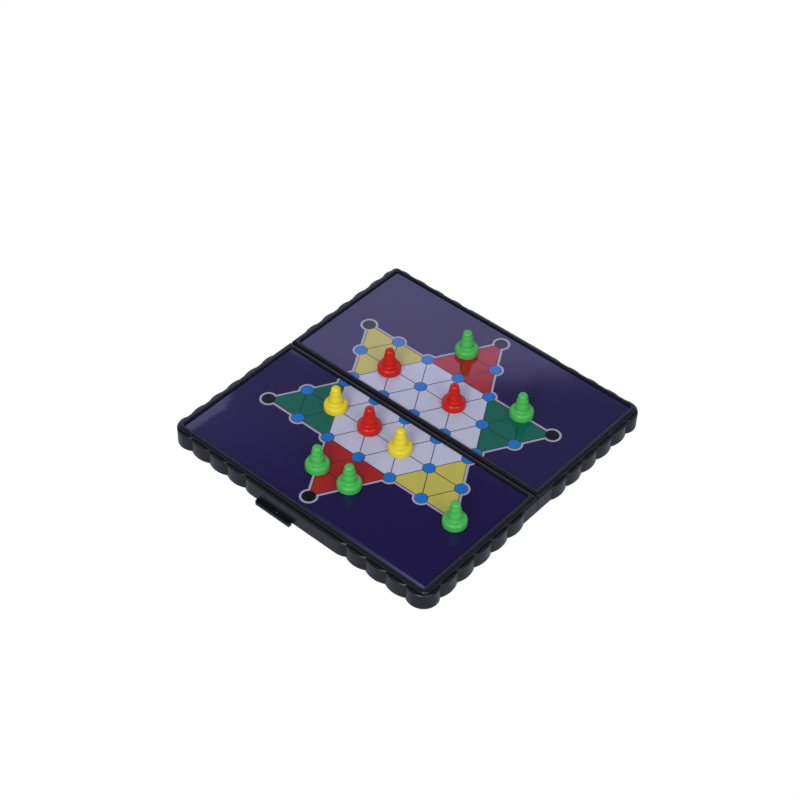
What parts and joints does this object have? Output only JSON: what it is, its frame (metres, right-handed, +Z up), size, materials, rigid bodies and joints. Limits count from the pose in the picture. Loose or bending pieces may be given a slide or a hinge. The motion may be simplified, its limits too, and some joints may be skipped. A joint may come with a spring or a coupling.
{
  "type": "folding travel board game box",
  "caption": "Folding magnetic travel board for a six-pointed star game: two hinged plastic trays with scalloped walls, printed playing faces and coloured pawns",
  "frame": {"origin": "middle of the open board on the surface that it stands on, under the fold line", "axes": "+X along the fold line, +Y from the near half to the far half, +Z up, out of the playing faces"},
  "size_m": [0.13, 0.1356, 0.02],
  "materials": {
    "shell_plastic": "satin black moulded plastic",
    "plate_steel": "plain rolled sheet",
    "board_print": "glossy printed film with a six-pointed star",
    "pin_steel": "bright wire",
    "green_plastic": "glossy",
    "red_plastic": "glossy",
    "yellow_plastic": "glossy",
    "magnet": "nickel plated"
  },
  "bodies": {
    "near_half": {"near_shell": "shell_plastic", "near_steel_plate": "plate_steel", "near_board_print": "board_print", "hinge_pin_left": "pin_steel"},
    "far_half": {"far_shell": "shell_plastic", "far_steel_plate": "plate_steel", "far_board_print": "board_print", "hinge_pin_right": "pin_steel"},
    "pawn_green_1": {"pawn_green_1": "green_plastic", "magnet_green_1": "magnet"},
    "pawn_green_2": {"pawn_green_2": "green_plastic", "magnet_green_2": "magnet"},
    "pawn_green_3": {"pawn_green_3": "green_plastic", "magnet_green_3": "magnet"},
    "pawn_green_4": {"pawn_green_4": "green_plastic", "magnet_green_4": "magnet"},
    "pawn_green_5": {"pawn_green_5": "green_plastic", "magnet_green_5": "magnet"},
    "pawn_red_1": {"pawn_red_1": "red_plastic", "magnet_red_1": "magnet"},
    "pawn_red_2": {"pawn_red_2": "red_plastic", "magnet_red_2": "magnet"},
    "pawn_red_3": {"pawn_red_3": "red_plastic", "magnet_red_3": "magnet"},
    "pawn_yellow_1": {"pawn_yellow_1": "yellow_plastic", "magnet_yellow_1": "magnet"},
    "pawn_yellow_2": {"pawn_yellow_2": "yellow_plastic", "magnet_yellow_2": "magnet"}
  },
  "joints": [
    {"name": "fold", "type": "hinge", "parent": "near_half", "child": "far_half", "pos_m": [0, 0, 0.00075], "axis": [-1, 0, 0], "range_deg": [0, 180]},
    {"name": "lift_green_1", "type": "slide", "parent": "near_half", "child": "pawn_green_1", "axis": [0, 0, 1], "range_m": [0, 0.02]},
    {"name": "lift_green_2", "type": "slide", "parent": "near_half", "child": "pawn_green_2", "axis": [0, 0, 1], "range_m": [0, 0.02]},
    {"name": "lift_green_3", "type": "slide", "parent": "near_half", "child": "pawn_green_3", "axis": [0, 0, 1], "range_m": [0, 0.02]},
    {"name": "lift_green_4", "type": "slide", "parent": "far_half", "child": "pawn_green_4", "axis": [0, 0, 1], "range_m": [0, 0.02]},
    {"name": "lift_green_5", "type": "slide", "parent": "far_half", "child": "pawn_green_5", "axis": [0, 0, 1], "range_m": [0, 0.02]},
    {"name": "lift_red_1", "type": "slide", "parent": "near_half", "child": "pawn_red_1", "axis": [0, 0, 1], "range_m": [0, 0.02]},
    {"name": "lift_red_2", "type": "slide", "parent": "far_half", "child": "pawn_red_2", "axis": [0, 0, 1], "range_m": [0, 0.02]},
    {"name": "lift_red_3", "type": "slide", "parent": "far_half", "child": "pawn_red_3", "axis": [0, 0, 1], "range_m": [0, 0.02]},
    {"name": "lift_yellow_1", "type": "slide", "parent": "near_half", "child": "pawn_yellow_1", "axis": [0, 0, 1], "range_m": [0, 0.02]},
    {"name": "lift_yellow_2", "type": "slide", "parent": "near_half", "child": "pawn_yellow_2", "axis": [0, 0, 1], "range_m": [0, 0.02]}
  ]
}
